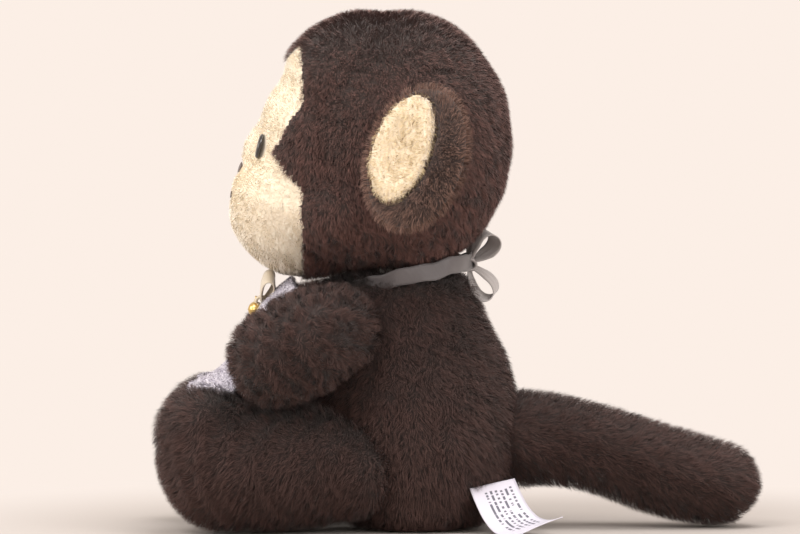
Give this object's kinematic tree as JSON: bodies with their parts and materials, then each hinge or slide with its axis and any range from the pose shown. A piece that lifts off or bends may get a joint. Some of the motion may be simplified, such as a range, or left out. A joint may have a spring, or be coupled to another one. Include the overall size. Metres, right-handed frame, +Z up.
{
  "type": "stuffed monkey",
  "caption": "Seated plush monkey with a cream face, cupped ears, stub arms, forward legs, a long tail, a tied neck ribbon and a bib.",
  "frame": {"origin": "centre of the flat seat under the torso, on the ground", "axes": "+Z up, the monkey faces -Y, its left side is +X"},
  "size_m": [0.2088, 0.3034, 0.258],
  "materials": {
    "dark_plush": "dark brown long-pile plush, matte with a soft sheen at the hair tips",
    "hood_plush": "warmer brown medium-pile plush, matte",
    "cream_plush": "cream short-pile plush, matte",
    "ear_plush": "peach-cream short-pile plush, matte",
    "filling": "white polyester fibre filling",
    "pellets": "plain cloth bag of plastic pellets",
    "thread": "dark brown heavy sewing thread",
    "face_thread": "brown satin stitch, soft sheen",
    "eye_plastic": "near-black moulded safety eye, polished",
    "washer_plastic": "white moulded washer",
    "satin": "silver-grey sheer satin ribbon",
    "bow_satin": "cream satin ribbon",
    "bib_cloth": "pale lavender-white looped towelling with a lace edge",
    "bell_metal": "small yellow-gold bell, satin",
    "label_satin": "white woven satin label, plain"
  },
  "bodies": {
    "torso": {"torso_cover": "dark_plush", "torso_filling": "filling", "seat_pellet_bag": "pellets", "neck_ribbon": "satin", "nape_bow_knot": "satin", "nape_bow_upper_loop": "satin", "nape_bow_lower_loop": "satin", "bib_collar": "bib_cloth", "bib_bell": "bell_metal", "left_bib_bow_loop": "bow_satin", "right_bib_bow_loop": "bow_satin"},
    "neck": {"neck_filling": "filling", "neck_stitching": "thread"},
    "head": {"head_cover": "hood_plush", "face_panel": "cream_plush", "muzzle_panel": "cream_plush", "head_filling": "filling", "left_eye": "eye_plastic", "left_eye_washer": "washer_plastic", "right_eye": "eye_plastic", "right_eye_washer": "washer_plastic", "nose_stitching": "face_thread", "mouth_stitching": "face_thread"},
    "left_ear": {"left_ear_back": "hood_plush", "left_ear_lining": "ear_plush"},
    "right_ear": {"right_ear_back": "hood_plush", "right_ear_lining": "ear_plush"},
    "left_shoulder": {"left_shoulder_stitching": "thread"},
    "right_shoulder": {"right_shoulder_stitching": "thread"},
    "left_arm": {"left_arm_cover": "dark_plush", "left_arm_filling": "filling"},
    "right_arm": {"right_arm_cover": "dark_plush", "right_arm_filling": "filling"},
    "left_leg": {"left_leg_cover": "dark_plush", "left_leg_filling": "filling", "left_hip_stitching": "thread"},
    "right_leg": {"right_leg_cover": "dark_plush", "right_leg_filling": "filling", "right_hip_stitching": "thread"},
    "tail_seam": {"tail_stitching": "thread"},
    "tail": {"tail_cover": "dark_plush", "tail_filling": "filling"},
    "bib": {"bib_panel": "bib_cloth", "bib_ruffle": "bib_cloth"},
    "care_label": {"care_label": "label_satin"}
  },
  "joints": [
    {"name": "head_turn", "type": "hinge", "parent": "torso", "child": "neck", "pos_m": [0, -0.01, 0.122], "axis": [0, 0, 1], "range_deg": [-25, 25], "stiffness_Nm_per_rad": 0.12},
    {"name": "head_nod", "type": "hinge", "parent": "neck", "child": "head", "pos_m": [0, -0.01, 0.122], "axis": [1, 0, 0], "range_deg": [-8, 4], "stiffness_Nm_per_rad": 0.5},
    {"name": "left_ear_fold", "type": "hinge", "parent": "head", "child": "left_ear", "pos_m": [0.0663, -0.02, 0.1905], "axis": [0, -0.309, -0.9511], "range_deg": [-8, 20], "stiffness_Nm_per_rad": 0.02},
    {"name": "left_arm_swing", "type": "hinge", "parent": "torso", "child": "left_shoulder", "pos_m": [0.049, -0.03, 0.101], "axis": [0, 0, 1], "range_deg": [0, 50], "stiffness_Nm_per_rad": 0.04},
    {"name": "left_arm_raise", "type": "hinge", "parent": "left_shoulder", "child": "left_arm", "pos_m": [0.049, -0.03, 0.101], "axis": [-1, 0, 0], "range_deg": [0, 30], "stiffness_Nm_per_rad": 0.04},
    {"name": "left_leg_spread", "type": "hinge", "parent": "torso", "child": "left_leg", "pos_m": [0.034, -0.048, 0.033], "axis": [0, 0, 1], "range_deg": [-5, 30], "stiffness_Nm_per_rad": 0.06},
    {"name": "right_ear_fold", "type": "hinge", "parent": "head", "child": "right_ear", "pos_m": [-0.0663, -0.02, 0.1905], "axis": [0, 0.309, 0.9511], "range_deg": [-8, 20], "stiffness_Nm_per_rad": 0.02},
    {"name": "right_arm_swing", "type": "hinge", "parent": "torso", "child": "right_shoulder", "pos_m": [-0.049, -0.03, 0.101], "axis": [0, 0, -1], "range_deg": [0, 50], "stiffness_Nm_per_rad": 0.04},
    {"name": "right_arm_raise", "type": "hinge", "parent": "right_shoulder", "child": "right_arm", "pos_m": [-0.049, -0.03, 0.101], "axis": [-1, 0, 0], "range_deg": [0, 30], "stiffness_Nm_per_rad": 0.04},
    {"name": "right_leg_spread", "type": "hinge", "parent": "torso", "child": "right_leg", "pos_m": [-0.034, -0.048, 0.033], "axis": [0, 0, -1], "range_deg": [-5, 30], "stiffness_Nm_per_rad": 0.06},
    {"name": "tail_swing", "type": "hinge", "parent": "torso", "child": "tail_seam", "pos_m": [0, 0.048, 0.044], "axis": [0, 0, 1], "range_deg": [-25, 25], "stiffness_Nm_per_rad": 0.03},
    {"name": "tail_lift", "type": "hinge", "parent": "tail_seam", "child": "tail", "pos_m": [0, 0.048, 0.044], "axis": [1, 0, 0], "range_deg": [0, 25], "stiffness_Nm_per_rad": 0.03},
    {"name": "bib_lift", "type": "hinge", "parent": "torso", "child": "bib", "pos_m": [0, -0.066, 0.104], "axis": [-1, 0, 0], "range_deg": [0, 35]},
    {"name": "care_label_flip", "type": "hinge", "parent": "torso", "child": "care_label", "pos_m": [0.03584, 0.03596, 0.02122], "axis": [0.5592, -0.829, 0], "range_deg": [0, 30]}
  ]
}
